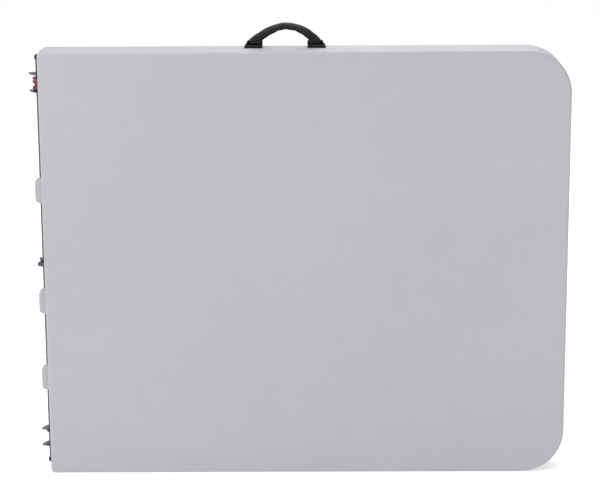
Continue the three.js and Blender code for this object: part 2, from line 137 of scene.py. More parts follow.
def mesh_piece(name, shells, material, body, stands_for=(), crisp=40):
    """Makes one object from closed shells, each a pair of points and a list of face arrays."""
    points, faces, count = [], [], 0
    for shell_points, shell_faces in shells:
        points.append(np.array(shell_points, float).reshape(-1, 3) / 1000)
        for block in shell_faces:
            faces += (np.atleast_2d(block) + count).tolist()
        count += len(points[-1])
    mesh = bpy.data.meshes.new(name)
    mesh.from_pydata(np.concatenate(points).tolist(), [], faces)
    merge = bmesh.new()
    merge.from_mesh(mesh)
    bmesh.ops.remove_doubles(merge, verts=merge.verts, dist=3e-6)
    bmesh.ops.recalc_face_normals(merge, faces=merge.faces)
    merge.to_mesh(mesh)
    merge.free()
    mesh.polygons.foreach_set("use_smooth", np.ones(len(mesh.polygons), bool))
    mesh.set_sharp_from_angle(angle=math.radians(crisp))
    mesh.materials.append(material)
    piece = bpy.data.objects.new(name, mesh)
    bpy.context.scene.collection.objects.link(piece)
    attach(piece, body)
    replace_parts(piece, *stands_for)
    return piece


# %% [markdown]
# Three kinds of surface cover nearly all of the gear. A turned shape is a profile spun about an
# axis: tubes, caps, rivets. A plate is an outline repeated through its thickness, drawn in a
# little at both faces so that its rims catch light as pressed steel does. A channel is a rounded
# outline with a second one inside it, joined at both ends, so the tube wall has a thickness.

# %% Turned shapes, plates and channels
def turned(profile, start, axis, sides=40):
    """A profile spun about an axis: each row is a circle at its distance along the axis."""
    along, radius = np.array(profile, float).T
    axis = unit(axis)
    side = unit(np.cross(axis, [0.31, 0.87, 0.39]))
    up = np.cross(axis, side)
    angle = np.linspace(0, 2 * np.pi, sides, endpoint=False)[:, None]
    circle = np.cos(angle) * side + np.sin(angle) * up
    points = np.array(start) + along[:, None, None] * axis + radius[:, None, None] * circle
    return points, [grid_faces(len(along), sides)]


def plate(outline, span, edge, lay):
    """An outline carried through its thickness. Near each face it is drawn in by
    edge x (1 - sin) while it rises by edge x (1 - cos), which rounds the rim."""
    outline = np.array(outline, float)
    forward = unit(np.roll(outline, -1, 0) - np.roll(outline, 1, 0))
    area = np.sum(outline[:, 0] * np.roll(outline[:, 1], -1)
                  - outline[:, 1] * np.roll(outline[:, 0], -1))
    inward = np.stack([-forward[:, 1], forward[:, 0]], 1) * np.sign(area)
    turn = np.linspace(0, np.pi / 2, 4)
    drawn = edge * (1 - np.sin(turn))
    height = np.concatenate([span[0] + edge * (1 - np.cos(turn)),
                             span[1] - edge * (1 - np.cos(turn[::-1]))])
    drawn = np.concatenate([drawn, drawn[::-1]])
    flat = outline[None] + inward[None] * drawn[:, None, None]
    rows, columns = flat.shape[:2]
    points = lay(flat[..., 0], flat[..., 1], np.broadcast_to(height[:, None], (rows, columns)))
    ends = np.arange(columns)
    return np.stack(points, -1), [grid_faces(rows, columns), ends, ends + (rows - 1) * columns]


def channel(low, high, wall, corner):
    """A rounded rectangle run along X, with a smaller one inside it, closed at both ends."""
    def loop(inset, radius):
        y, z = (low[1] + inset, high[1] - inset), (low[2] + inset, high[2] - inset)
        return softened([(y[0], z[0]), (y[1], z[0]), (y[1], z[1]), (y[0], z[1])], radius)
    outer, inner = loop(0, corner), loop(wall, corner - wall / 2)
    lip = loop(0.5, corner)
    order = [(lip, low[0]), (outer, low[0] + 0.5), (outer, high[0] - 0.5), (lip, high[0]),
             (inner, high[0]), (inner, low[0])]
    points = [np.column_stack([np.full(len(section), x), section]) for section, x in order]
    return np.stack(points), [grid_faces(len(order), len(outer), loop_rows=True)]


def dome(radius, height, foot=0.0):
    """Profile of a rivet head: a short wall, then a quarter of an ellipse to the middle."""
    turn = np.linspace(0, np.pi / 2, 6)
    return [(-0.6, 0), (-0.6, radius)] + list(zip(foot + height * np.sin(turn), radius * np.cos(turn)))


# %% [markdown]
# ## Finishes
#
# The halves are polyethylene with a fine pebble, the gear is powder-coated steel, the handle and
# caps are black nylon and the lock is red nylon. Four effects recur, so each is built once as a
# node group: cloudy colour, pebble or orange-peel relief, dust on upward faces, and rubbed spots.
# The groups only put out values. Each material keeps its own shader and its own numbers.

# %% Helpers for nodes
def put(tree, kind, settings=None, **inputs):
    """Adds a node, with its settings and its unlinked inputs."""
    node = tree.nodes.new(kind)
    for name, value in (settings or {}).items():
        setattr(node, name, value)
    for name, value in inputs.items():
        node.inputs[name.replace("_", " ")].default_value = value
    return node


def effect(name, inputs, build):
    """A node group with a Vector input, the given number inputs and one Value output."""
    group = bpy.data.node_groups.new(name, "ShaderNodeTree")
    group.interface.new_socket("Vector", in_out="INPUT", socket_type="NodeSocketVector")
    for label, value in inputs.items():
        socket = group.interface.new_socket(label, in_out="INPUT", socket_type="NodeSocketFloat")
        socket.default_value = value
    group.interface.new_socket("Value", in_out="OUTPUT", socket_type="NodeSocketFloat")
    entry, result = put(group, "NodeGroupInput"), put(group, "NodeGroupOutput")
    group.links.new(build(group, entry), result.inputs["Value"])
    return group


def build_cloud(group, entry):
    """Two sizes of soft noise, multiplied, so no patch repeats."""
    broad = put(group, "ShaderNodeTexNoise", Detail=3.0)
    fine = put(group, "ShaderNodeTexNoise", Detail=2.0)
    bigger = put(group, "ShaderNodeMath", {"operation": "MULTIPLY"})
    bigger.inputs[1].default_value = 7.3
    both = put(group, "ShaderNodeMath", {"operation": "MULTIPLY_ADD"})
    both.inputs[1].default_value = 0.35
    group.links.new(entry.outputs["Scale"], bigger.inputs[0])
    for noise in (broad, fine):
        group.links.new(entry.outputs["Vector"], noise.inputs["Vector"])
    group.links.new(entry.outputs["Scale"], broad.inputs["Scale"])
    group.links.new(bigger.outputs[0], fine.inputs["Scale"])
    group.links.new(fine.outputs[0], both.inputs[0])
    group.links.new(broad.outputs[0], both.inputs[2])
    return both.outputs[0]


def build_pebble(group, entry):
    """Rounded cells with soft noise over them: close, shallow bumps as on textured moulds."""
    cells = put(group, "ShaderNodeTexVoronoi", {"feature": "SMOOTH_F1"}, Smoothness=0.7)
    noise = put(group, "ShaderNodeTexNoise", Detail=2.0)
    mix = put(group, "ShaderNodeMath", {"operation": "SUBTRACT"})
    for texture in (cells, noise):
        group.links.new(entry.outputs["Vector"], texture.inputs["Vector"])
        group.links.new(entry.outputs["Scale"], texture.inputs["Scale"])
    group.links.new(noise.outputs[0], mix.inputs[0])
    group.links.new(cells.outputs["Distance"], mix.inputs[1])
    return mix.outputs[0]


def build_dust(group, entry):
    """Noise kept where the surface faces up, and scaled by the amount."""
    noise = put(group, "ShaderNodeTexNoise", Scale=46.0, Detail=5.0)
    geometry = put(group, "ShaderNodeNewGeometry")
    split = put(group, "ShaderNodeSeparateXYZ")
    up = put(group, "ShaderNodeMapRange", From_Min=0.2, From_Max=1.0)
    patch = put(group, "ShaderNodeMapRange", From_Min=0.35, From_Max=0.7)
    both = put(group, "ShaderNodeMath", {"operation": "MULTIPLY"})
    amount = put(group, "ShaderNodeMath", {"operation": "MULTIPLY"})
    group.links.new(entry.outputs["Vector"], noise.inputs["Vector"])
    group.links.new(geometry.outputs["Normal"], split.inputs[0])
    group.links.new(split.outputs["Z"], up.inputs["Value"])
    group.links.new(noise.outputs[0], patch.inputs["Value"])
    group.links.new(up.outputs[0], both.inputs[0])
    group.links.new(patch.outputs[0], both.inputs[1])
    group.links.new(both.outputs[0], amount.inputs[0])
    group.links.new(entry.outputs["Amount"], amount.inputs[1])
    return amount.outputs[0]


def build_rubbed(group, entry):
    """Sparse small spots: the peaks of a sharp noise, scaled by the amount."""
    noise = put(group, "ShaderNodeTexNoise", Detail=6.0, Roughness=0.75)
    peak = put(group, "ShaderNodeMapRange", From_Min=0.6, From_Max=0.72)
    amount = put(group, "ShaderNodeMath", {"operation": "MULTIPLY"})
    group.links.new(entry.outputs["Vector"], noise.inputs["Vector"])
    group.links.new(entry.outputs["Scale"], noise.inputs["Scale"])
    group.links.new(noise.outputs[0], peak.inputs["Value"])
    group.links.new(peak.outputs[0], amount.inputs[0])
    group.links.new(entry.outputs["Amount"], amount.inputs[1])
    return amount.outputs[0]


CLOUD = effect("cloudy_colour", {"Scale": 4.0}, build_cloud)
PEBBLE = effect("pebble_relief", {"Scale": 500.0}, build_pebble)
DUST = effect("dust_on_top", {"Amount": 0.3}, build_dust)
RUBBED = effect("rubbed_spots", {"Scale": 120.0, "Amount": 0.3}, build_rubbed)
print("effects:", [group.name for group in (CLOUD, PEBBLE, DUST, RUBBED)])


# %% Materials
def finish(name, light, dark, roughness, cloud=4.0, pebble=500.0, depth=0.0003, bump=0.3, dust=0.2,
           rubbed=0.2, rub_scale=120.0, rub_colour=None, metal=0.0, coat=0.0, specular=0.5):
    """A Principled material: cloudy colour between two tones, rubbed spots, dust, and a relief.
    roughness is a pair, for the smooth and the dull patches of the same cloud."""
    material = bpy.data.materials.new(name)
    material.use_nodes = True
    tree = material.node_tree
    shader = tree.nodes["Principled BSDF"]
    shader.inputs["Metallic"].default_value = metal
    shader.inputs["Coat Weight"].default_value = coat
    shader.inputs["Specular IOR Level"].default_value = specular
    place = put(tree, "ShaderNodeTexCoord").outputs["Object"]

    def use(group, **values):
        node = put(tree, "ShaderNodeGroup", {"node_tree": group}, **values)
        tree.links.new(place, node.inputs["Vector"])
        return node.outputs["Value"]

    def mixed(factor, first, second):
        node = put(tree, "ShaderNodeMix", {"data_type": "RGBA"})
        tree.links.new(factor, node.inputs[0])
        for socket, value in ((node.inputs[6], first), (node.inputs[7], second)):
            if isinstance(value, tuple):
                socket.default_value = (*value, 1)
            else:
                tree.links.new(value, socket)
        return node.outputs[2]

    patch = put(tree, "ShaderNodeMapRange", From_Min=0.45, From_Max=0.9)
    tree.links.new(use(CLOUD, Scale=cloud), patch.inputs["Value"])
    colour = mixed(patch.outputs[0], light, dark)
    colour = mixed(use(RUBBED, Scale=rub_scale, Amount=rubbed), colour, rub_colour or dark)
    colour = mixed(use(DUST, Amount=dust), colour, (0.46, 0.45, 0.43))
    tree.links.new(colour, shader.inputs["Base Color"])
    rough = put(tree, "ShaderNodeMapRange", To_Min=roughness[0], To_Max=roughness[1])
    tree.links.new(patch.outputs[0], rough.inputs["Value"])
    tree.links.new(rough.outputs[0], shader.inputs["Roughness"])
    relief = put(tree, "ShaderNodeBump", Strength=bump, Distance=depth)
    tree.links.new(use(PEBBLE, Scale=pebble), relief.inputs["Height"])
    tree.links.new(relief.outputs[0], shader.inputs["Normal"])
    return material


WHITE = finish("pebbled_polyethylene", (0.428, 0.431, 0.447), (0.404, 0.408, 0.423), (0.46, 0.58),
               cloud=3.0, pebble=520.0, depth=0.0006, bump=0.35, dust=0.05, rubbed=0.25,
               rub_scale=260.0, rub_colour=(0.47, 0.475, 0.488))
STEEL = finish("powder_coated_steel", (0.088, 0.090, 0.095), (0.066, 0.068, 0.072), (0.36, 0.52),
               cloud=14.0, pebble=900.0, depth=0.0002, bump=0.25, dust=0.12, rubbed=0.35,
               rub_colour=(0.17, 0.17, 0.18), metal=0.25, coat=0.1, specular=0.35)
ZINC = finish("zinc_rivets", (0.56, 0.56, 0.55), (0.42, 0.42, 0.41), (0.28, 0.46), cloud=40.0,
              pebble=1500.0, depth=0.0001, bump=0.2, dust=0.1, rubbed=0.3, metal=0.9)
BLACK = finish("black_nylon", (0.0085, 0.0085, 0.0105), (0.014, 0.014, 0.016), (0.42, 0.6),
               cloud=26.0, pebble=1400.0, depth=0.0002, bump=0.3, dust=0.10, rubbed=0.15,
               rub_colour=(0.03, 0.03, 0.032), specular=0.22)
RUBBER = finish("ribbed_grip_rubber", (0.020, 0.020, 0.024), (0.014, 0.014, 0.017), (0.55, 0.72),
                cloud=30.0, pebble=1600.0, depth=0.0002, bump=0.3, dust=0.10, rubbed=0.25,
                rub_colour=(0.035, 0.035, 0.038), specular=0.25)
RED = finish("red_nylon", (0.21, 0.008, 0.006), (0.12, 0.005, 0.004), (0.22, 0.34), cloud=60.0,
             pebble=1500.0, depth=0.0001, bump=0.15, dust=0.05, rubbed=0.1,
             rub_colour=(0.36, 0.04, 0.025), coat=0.4)
print("finishes:", [m.name for m in (WHITE, STEEL, ZINC, BLACK, RUBBER, RED)])


# %% [markdown]
# ## The two halves of the top
#
# Each half is one hollow moulding: a flat face, a rounded rim, a skirt, and a recess whose floor
# is pressed into rows of small dimples that stiffen it. It could be a box with cuts, but cuts
# leave sharp edges that a mould never has. Here one closed surface does it all. Its rows walk
# over the section, from the face round the skirt and down to the recess floor. Its columns walk
# round the outline. On the fold edge some rows step out for the front half's lugs, or in for the
# rear half's notches, which the lugs enter when the table is open, and the skirt dips where hinge
# plates pass. The dimpled floor is a second grid on the same lines.

# %% Lines of the grid
LUGS = MIDDLE + np.array([135.0, -64.5, -204.5])
LUG_HALF, LUG_REACH, LUG_CORNER = 21.5, 12.5, 7.0
NOTCH_HALF, NOTCH_REACH = 23.5, 13.5
RAIL_LINE, RAIL_SLOT, KNUCKLE_SLOT = 55.0, 18.5, 13.5
SLOTS = [(RAIL_LINE, RAIL_SLOT), (MIDDLE, KNUCKLE_SLOT), (WIDTH - RAIL_LINE, RAIL_SLOT)]
RECESS, FLOOR, FOOT_POCKET = 24.0, -32.0, -36.5
floor_x, floor_z = (FOLD + 34, OUTER - 78), (69.0, WIDTH - 69)
POCKET_X = (FOLD + 165, FOLD + 335)
POCKET_Z = [(71.5, 126.5), (WIDTH - 126.5, WIDTH - 71.5)]
DIMPLE = np.array([-20, -12.5, -10.5, -8.5, -6.5, -3.5, 0, 3.5, 6.5, 8.5, 10.5, 12.5, 20])


def dimple_lines(span, count):
    """Grid lines across rows of dimples: close together over each dimple, wide between them."""
    pitch = (span[1] - span[0]) / count
    middles = span[0] + pitch * (np.arange(count) + 0.5)
    return middles, np.concatenate([(middles[:, None] + DIMPLE).ravel(), np.linspace(*span, count + 1)])


def around(middle, *offsets):
    """Lines at both sides of a middle, at each offset."""
    return np.concatenate([middle + np.array(offsets), middle - np.array(offsets)])


dimple_x, x_lines = dimple_lines(floor_x, 13)
dimple_z, z_lines = dimple_lines(floor_z, 10)
x_lines = np.unique(np.round(np.concatenate([x_lines, *[around(x, -1.2, 1.2) for x in POCKET_X]]), 2))
z_lines = np.unique(np.round(np.concatenate(
    [z_lines, *[around(z, -1.2, 1.2) for pair in POCKET_Z for z in pair if 80 < z < WIDTH - 80]]), 2))
edge_lines = np.concatenate(
    [around(z, 12, 14.5, 17, 19, 20.3, 21.2, 21.5, 21.9, 23, 23.3, 23.7, 24.1) for z in LUGS]
    + [around(z, half - 0.9, half - 0.3, half + 0.3, half + 0.9) for z, half in SLOTS]
    + [[18.0, WIDTH - 18.0]])
fold_lines = np.unique(np.round(np.concatenate([z_lines, edge_lines]), 2))
print(f"{len(x_lines)} lines along, {len(z_lines)} across, {len(fold_lines)} on the fold edge")


# %% [markdown]
# The section is a list of rows. Each has an inset from the outline, a height, two corner radii,
# and how far it takes part in the lugs and the notches. Between rows the surface runs straight,
# so arcs get several rows and flats get two. Where the hinge rod lies along the fold edge, the
# skirt's last corner is hollowed to the rod's circle and not rounded outward.

# %% Rows of the section
def arc(centre, radius, start, end, steps=6):
    """Points on a circle, from one angle to another, in degrees."""
    angle = np.radians(np.linspace(start, end, steps))
    return np.column_stack([centre[0] + radius * np.cos(angle), centre[1] + radius * np.sin(angle)])


def section_rows():
    """Inset, height, outer corner radius, fold corner radius, lug share and notch share."""
    ease = (1 - np.cos(np.linspace(0, np.pi, 4))) / 2
    face = [(34, FACE, 0, 0), (14, FACE, 0, 0), (6.5, FACE, 0, 0)]
    rounding = [(d, y, 0, 0) for d, y in arc((5, FACE + 5), 5, 270, 180, 7)]
    notch_in = [(0, -32 + 0.7 * t, 0, t) for t in ease]
    lug_in = [(0, -28 + 0.9 * t, t, 1) for t in ease]
    lug_out = [(0, -14.9 + 0.9 * t, 1 - t, 1) for t in ease]
    notch_out = [(0, -10.7 + 0.7 * t, 0, 1 - t) for t in ease]
    outside = np.array(face + rounding + [(0, -34, 0, 0)] + notch_in + lug_in + lug_out + notch_out)
    hollow = np.zeros((8, 4))
    hollow[:, :2] = arc((1.5, -2), 1.5, 180, 90, 8)
    rim = np.array([(9, -0.5, 0, 0), (RECESS - 1.5, -0.5, 0, 0)])
    inside = np.array([(d, y, 0, 0) for d, y in arc((RECESS - 1.5, -2), 1.5, 90, 0, 4)]
                      + [(RECESS + 1.6, FLOOR + 4, 0, 0)])
    fillet = np.array([(d, y, 0, 0) for d, y in arc((RECESS + 5.6, FLOOR + 4), 4, 190, 270, 5)])
    rows = np.concatenate([outside, hollow, rim, inside, fillet])
    inset, height, lug, notch = rows.T
    through_rim = np.clip(inset / RECESS, 0, 1) * (height > -30)
    through_rim[:len(outside)] = 0
    past_rim = np.arange(len(rows)) >= len(outside) + len(hollow) + 1
    outer = np.where(past_rim, 34 - (inset - RECESS), 75 - inset - 17 * through_rim)
    fold = np.where(past_rim, 12 - (inset - RECESS) / 2, np.maximum(6 - inset, 0.4) + 6 * through_rim)
    return np.column_stack([inset, height, outer, fold, lug, notch]), len(outside)


section, hollow_start = section_rows()
print(f"{len(section)} rows from the face to the recess floor")


# %% [markdown]
# The outline's columns keep their place on the straight sides and bend round in the corners. A
# column that a corner's radius reaches waits at the start of the bend, so that the same columns
# serve a wide corner outside and a square one at the floor grid.

# %% Surface of one half
def smooth_step(value):
    """0 below 0, 1 above 1, and an S-shaped rise between."""
    value = np.clip(value, 0, 1)
    return value * value * (3 - 2 * value)


def bend(centre_x, centre_z, radius, start, steps):
    """A quarter circle in each row, from the start angle in degrees."""
    angle = np.radians(start + np.linspace(0, 90, steps))[None]
    return centre_x + radius * np.cos(angle), centre_z + radius * np.sin(angle)


def lug_step(z):
    """How far the fold edge stands out at a height: full over a lug, rounded at its corners."""
    off = np.abs(z[..., None] - LUGS).min(-1)
    into_corner = np.clip(off - (LUG_HALF - LUG_CORNER), 0, LUG_CORNER)
    rounded = LUG_REACH - LUG_CORNER + np.sqrt(LUG_CORNER ** 2 - into_corner ** 2)
    return rounded * smooth_step((LUG_HALF + 0.5 - off) / 0.5)


def notch_step(z):
    """How far the fold edge steps in at a height, where a lug of the other half enters."""
    off = np.abs(z[..., None] - LUGS).min(-1)
    return NOTCH_REACH * smooth_step((NOTCH_HALF + 0.6 - off) / 1.2)


def slot_height(z):
    """Height limit of the skirt: at the mating plane, except where hinge plates pass."""
    open_share = sum(smooth_step((half + 0.9 - np.abs(z - middle)) / 1.8) for middle, half in SLOTS)
    return -0.5 - 30 * open_share


def floor_height(x, z):
    """Recess floor: dimples with drafted walls, two deeper pockets for the other half's feet."""
    away = np.hypot(*np.meshgrid(x - dimple_x[np.abs(x[:, None] - dimple_x).argmin(1)],
                                 z - dimple_z[np.abs(z[:, None] - dimple_z).argmin(1)], indexing="ij"))
    grid_x, grid_z = np.meshgrid(x, z, indexing="ij")
    in_pocket = sum(smooth_step((1.2 - np.abs(grid_x - sum(POCKET_X) / 2) + 85) / 2.4)
                    * smooth_step((1.2 - np.abs(grid_z - sum(pair) / 2) + 27.5) / 2.4)
                    for pair in POCKET_Z)
    near_mount = (np.abs(grid_x - FOLD - 412) < 42) & (np.abs(grid_z - MIDDLE) < 44)
    near_knuckle = (grid_x < FOLD + 100) & (np.abs(grid_z - MIDDLE) < 40)
    near_pocket = ((np.abs(grid_x - sum(POCKET_X) / 2) < 100)
                   & (np.abs(grid_z - MIDDLE) > MIDDLE - 145))
    plain = near_mount | near_knuckle | near_pocket
    dimple = 5.5 * smooth_step((12 - away) / 5.5) * ~plain
    return FLOOR - dimple + (FOOT_POCKET - FLOOR) * in_pocket


def half_surface(lugs, notches):
    """Points and faces of a half: the rows over the section, then the floor grid inside them.
    lugs and notches are 1 where the half has them and 0 where it has not."""
    inset, height, outer, fold, lug, notch = (column[:, None] for column in section.T)
    square = np.full((1, 1), 1e-3)
    left = np.vstack([FOLD + inset, [[floor_x[0]]]])
    right = np.vstack([OUTER - inset, [[floor_x[1]]]])
    low = np.vstack([inset, [[floor_z[0]]]])
    outer, fold = np.vstack([outer, square]), np.vstack([fold, square])
    height = np.vstack([height, [[FLOOR]]])
    lug, notch = np.vstack([lug, [[0]]]), np.vstack([notch, [[0]]])
    high = WIDTH - low

    def along_x(lines):
        return np.clip(lines[None], left + fold, right - outer)

    def along_z(lines, radius):
        return np.clip(lines[None], low + radius, high - radius)

    up_fold = along_z(fold_lines[::-1], fold)
    fold_x = left - lugs * lug * lug_step(up_fold) + notches * notch * notch_step(up_fold)
    up_outer = along_z(z_lines, outer)
    sides = [
        (along_x(x_lines), low * np.ones(len(x_lines))),
        bend(right - outer, low + outer, outer, -90, 20),
        (right * np.ones(len(z_lines)), up_outer),
        bend(right - outer, high - outer, outer, 0, 20),
        (along_x(x_lines[::-1]), high * np.ones(len(x_lines))),
        bend(left + fold, high - fold, fold, 90, 8),
        (fold_x, up_fold),
        bend(left + fold, low + fold, fold, 180, 8),
    ]
    x = np.concatenate([side[0] for side in sides], 1)
    z = np.concatenate([side[1] for side in sides], 1)
    y = height * np.ones_like(x)

    # hollow the skirt's corner to the rod's circle, wider where the rod's caps sit
    at_fold = smooth_step((FOLD + 7 - x[hollow_start]) / 5)
    radius = 4.9 + 2 * smooth_step((np.abs(z[hollow_start] - MIDDLE) - MIDDLE + 20) / 2)
    rows = slice(hollow_start, hollow_start + 8)
    start, end = np.arccos((FOLD - ROD[0]) / radius), np.arcsin(0.5 / radius)
    angle = start + (end - start) * np.linspace(0, 1, 8)[:, None]
    x[rows] += at_fold * (ROD[0] + radius * np.cos(angle) - x[rows])
    y[rows] += at_fold * (-radius * np.sin(angle) - y[rows])

    in_skirt = (x < FOLD + 34) & (np.arange(len(x)) > 10)[:, None] & (y > -30.5)
    y = np.where(in_skirt, np.minimum(y, slot_height(z)), y)
    rim_points = np.stack([x, y, z], -1)

    grid_x, grid_z = np.meshgrid(x_lines, z_lines, indexing="ij")
    floor_points = np.stack([grid_x, floor_height(x_lines, z_lines), grid_z], -1)
    return [
        (rim_points, [grid_faces(*x.shape), np.arange(x.shape[1])]),
        (floor_points, [grid_faces(*grid_x.shape, loop_columns=False)]),
    ]


def mirrored(shells):
    """The same shells on the other side of the plane where the two halves meet."""
    return [(np.array(points, float).reshape(-1, 3) * [1, -1, 1], faces) for points, faces in shells]


front_half = mesh_piece("front_half_moulding", half_surface(1, 0), WHITE, "front_half",
                        ["front_top_half"], crisp=50)
mesh_piece("rear_half_moulding", mirrored(half_surface(0, 1)), WHITE, "rear_half",
           ["rear_top_half"], crisp=50)
print("faces in one half:", len(front_half.data.polygons))


# %% [markdown]
# ## Hinge rod and its caps
#
# One steel rod runs the whole fold, and a black cap is pressed on each end. Both are turned
# shapes: the rod gets chamfered ends, the caps a lip and a domed end.

# %% Hinge rod and caps
rod_low, rod_high = corners("hinge_rod")
length, radius = rod_high[2] - rod_low[2], (rod_high[0] - rod_low[0]) / 2
rod_profile = [(0, 0), (0, radius - 0.8), (0.8, radius), (length - 0.8, radius),
               (length, radius - 0.8), (length, 0)]
mesh_piece("hinge_rod_steel", [turned(rod_profile, (ROD[0], ROD[1], rod_low[2]), (0, 0, 1))],
           STEEL, "front_half", ["hinge_rod"])

cap_turn = np.linspace(0, np.pi / 2, 6)
cap_profile = ([(0, 0), (0, 5.6), (0.4, 6), (1.8, 6), (2.3, 5.5)]
               + [(4.4 + 4.2 * math.sin(a), 5.5 * math.cos(a)) for a in cap_turn])
for edge, start, axis in (("upper", rod_high[2] + 0.3, 1), ("lower", rod_low[2] - 0.3, -1)):
    mesh_piece(f"rod_cap_{edge}", [turned(cap_profile, (ROD[0], ROD[1], start), (0, 0, axis))],
               BLACK, "front_half", [f"hinge_rod_cap_{edge}"])
print(f"rod {length:.0f} mm long, {2 * radius:.0f} mm thick")


# %% [markdown]
# ## Pressed-steel gear
#
# Hinge plates, knuckles, brackets, brace strips and the spreaders already have the right shape in
# CAD, but their edges are razor sharp. A merged copy of each node with a narrow bevel gives it the
# rounded rims of pressed steel. Drawing them again by formula would only repeat the CAD outlines.

# %% Softened copies of CAD nodes
def body_of(node):
    """The CAD body that a node belongs to."""
    return next(body for body, members in frame["record"]["behaviour"]["bodies"].items()
                if node in members)


def pressed_copy(node, material, width=0.35):
    """A copy of a CAD node with its points merged, flat areas joined and edges bevelled."""
    mesh = frame["nodes"][node].data.copy()
    mesh.name = f"{node}_pressed"
    mesh.materials.clear()
    mesh.materials.append(material)
    merge = bmesh.new()
    merge.from_mesh(mesh)
    bmesh.ops.remove_doubles(merge, verts=merge.verts, dist=1e-6)
    bmesh.ops.dissolve_limit(merge, angle_limit=math.radians(1), verts=merge.verts, edges=merge.edges)
    merge.to_mesh(mesh)
    merge.free()
    if mesh.has_custom_normals:
        mesh.attributes.remove(mesh.attributes["custom_normal"])
    mesh.polygons.foreach_set("use_smooth", np.ones(len(mesh.polygons), bool))
    mesh.set_sharp_from_angle(angle=math.radians(35))
    piece = bpy.data.objects.new(mesh.name, mesh)
    bpy.context.scene.collection.objects.link(piece)
    bevel = piece.modifiers.new("pressed rim", "BEVEL")
    bevel.width, bevel.segments, bevel.angle_limit = width / 1000, 2, math.radians(40)
    bevel.harden_normals = True
    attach(piece, body_of(node))
    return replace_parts(piece, node)


pressed = [node for node in sorted(frame["nodes"]) if any(
    word in node for word in ("hinge_plate", "knuckle", "bracket", "strip", "spreader", "brace_mount"))]
for node in pressed:
    pressed_copy(node, STEEL, 0.6 if "strip" in node else 0.4)
print(len(pressed), "pressed-steel pieces")


# %% [markdown]
# ## Rails
#
# A square tube with rounded corners runs along each long edge, riveted to the recess floor. It is
# a channel: an outer and an inner outline, joined at both ends, so that the wall shows there.

# %% Rails and their rivets
def heads(places, axis, radius=4.2, height=1.6):
    """A row of rivet heads, one dome at each place, all facing along one axis."""
    return [turned(dome(radius, height), place, axis, 20) for place in places]


for label, facing in (("front", 1), ("rear", -1)):
    for edge in ("upper", "lower"):
        low, high = corners(f"{label}_{edge}_rail")
        mesh_piece(f"{label}_{edge}_rail_tube", [channel(low, high, 2, 2.6)], STEEL,
                   f"{label}_half", [f"{label}_{edge}_rail"])
        top = high[1] if facing > 0 else low[1]
        places = [(FOLD + x, top, (low[2] + high[2]) / 2) for x in (96, 250, 470, 690, 852)]
        mesh_piece(f"{label}_{edge}_rail_rivets", heads(places, (0, facing, 0)), ZINC,
                   f"{label}_half")
print("rail section", np.round(high - low, 1)[1:], "mm")


# %% [markdown]
# ## Leg sets
#
# Each set is a pivot tube with two legs welded to it, a spreader tube between them and a black
# cap on each foot. Legs and pivot tube are turned shapes. Where a leg meets the pivot tube, the
# weld is a thin bead laid on the line where the two cylinders cross, with a ripple in its
# thickness, because a plain ring would float off the saddle shape of that joint.

# %% Legs, feet, pivot tubes and welds
def saddle_bead(middle, leg_radius, tube_radius, size):
    """A bead round a leg's end. At angle a round the leg it sits where the leg's cylinder meets
    the pivot tube: set back from the tube's axis by the root of tube^2 - (leg cos a)^2."""
    angle = np.linspace(0, 2 * np.pi, 96, endpoint=False)
    outward = np.stack([0 * angle, np.cos(angle), np.sin(angle)], -1)
    back = np.sqrt(np.maximum(tube_radius ** 2 - (leg_radius * np.cos(angle)) ** 2, 0))
    path = np.array(middle) + outward * leg_radius - np.stack([back, 0 * back, 0 * back], -1)
    forward = unit(np.roll(path, -1, 0) - np.roll(path, 1, 0))
    across = unit(np.cross(forward, outward))
    thick = size * (1 + 0.16 * np.cos(24 * angle))[:, None, None]
    turn = np.linspace(0, 2 * np.pi, 10, endpoint=False)[None, :, None]
    points = path[:, None] + thick * (np.cos(turn) * outward[:, None] + np.sin(turn) * across[:, None])
    return points, [grid_faces(96, 10, loop_rows=True)]


FOOT_PROFILE = [(0, 0), (0.2, 6.4), (0.8, 8.6), (2.2, 10.6), (4.2, 11.6), (6, 11.8), (15, 11.8),
                (15.5, 11.3), (16.5, 11.3), (17, 11.8), (18.6, 11.8), (19.1, 11.3), (20.1, 11.3),
                (20.6, 11.8), (25.4, 11.8), (26, 11.3), (26, 0)]

for label in ("front", "rear"):
    body = f"{label}_leg_set"
    low, high = corners(f"{label}_pivot_tube")
    middle = (low + high) / 2
    radius = (high[0] - low[0]) / 2
    span = high[2] - low[2]
    tube = [(0, 0), (0, 5.4), (0.6, 6), (4.3, 6), (4.3, 10.4), (4.9, radius), (span - 4.9, radius),
            (span - 4.3, 10.4), (span - 4.3, 6), (span - 0.6, 6), (span, 5.4), (span, 0)]
    mesh_piece(f"{label}_pivot_tube_steel", [turned(tube, (middle[0], middle[1], low[2]), (0, 0, 1))],
               STEEL, body, [f"{label}_pivot_tube"])
    for edge in ("upper", "lower"):
        leg_low, leg_high = corners(f"{label}_{edge}_leg")
        z = (leg_low[2] + leg_high[2]) / 2
        long = middle[0] - leg_low[0]
        leg = [(0, 0), (0, radius - 0.6), (0.6, radius), (long - 2, radius), (long - 2, 0)]
        mesh_piece(f"{label}_{edge}_leg_tube", [turned(leg, (leg_low[0], middle[1], z), (1, 0, 0))],
                   STEEL, body, [f"{label}_{edge}_leg"])
        mesh_piece(f"{label}_{edge}_leg_weld",
                   [saddle_bead((middle[0], middle[1], z), radius, radius + 0.05, 1.5)],
                   STEEL, body)
        foot_low, _ = corners(f"{label}_{edge}_foot")
        mesh_piece(f"{label}_{edge}_foot_cap",
                   [turned(FOOT_PROFILE, (foot_low[0], middle[1], z), (1, 0, 0), 48)],
                   BLACK, body, [f"{label}_{edge}_foot"])
print(f"legs {long:.0f} mm long on a {span:.0f} mm pivot tube")


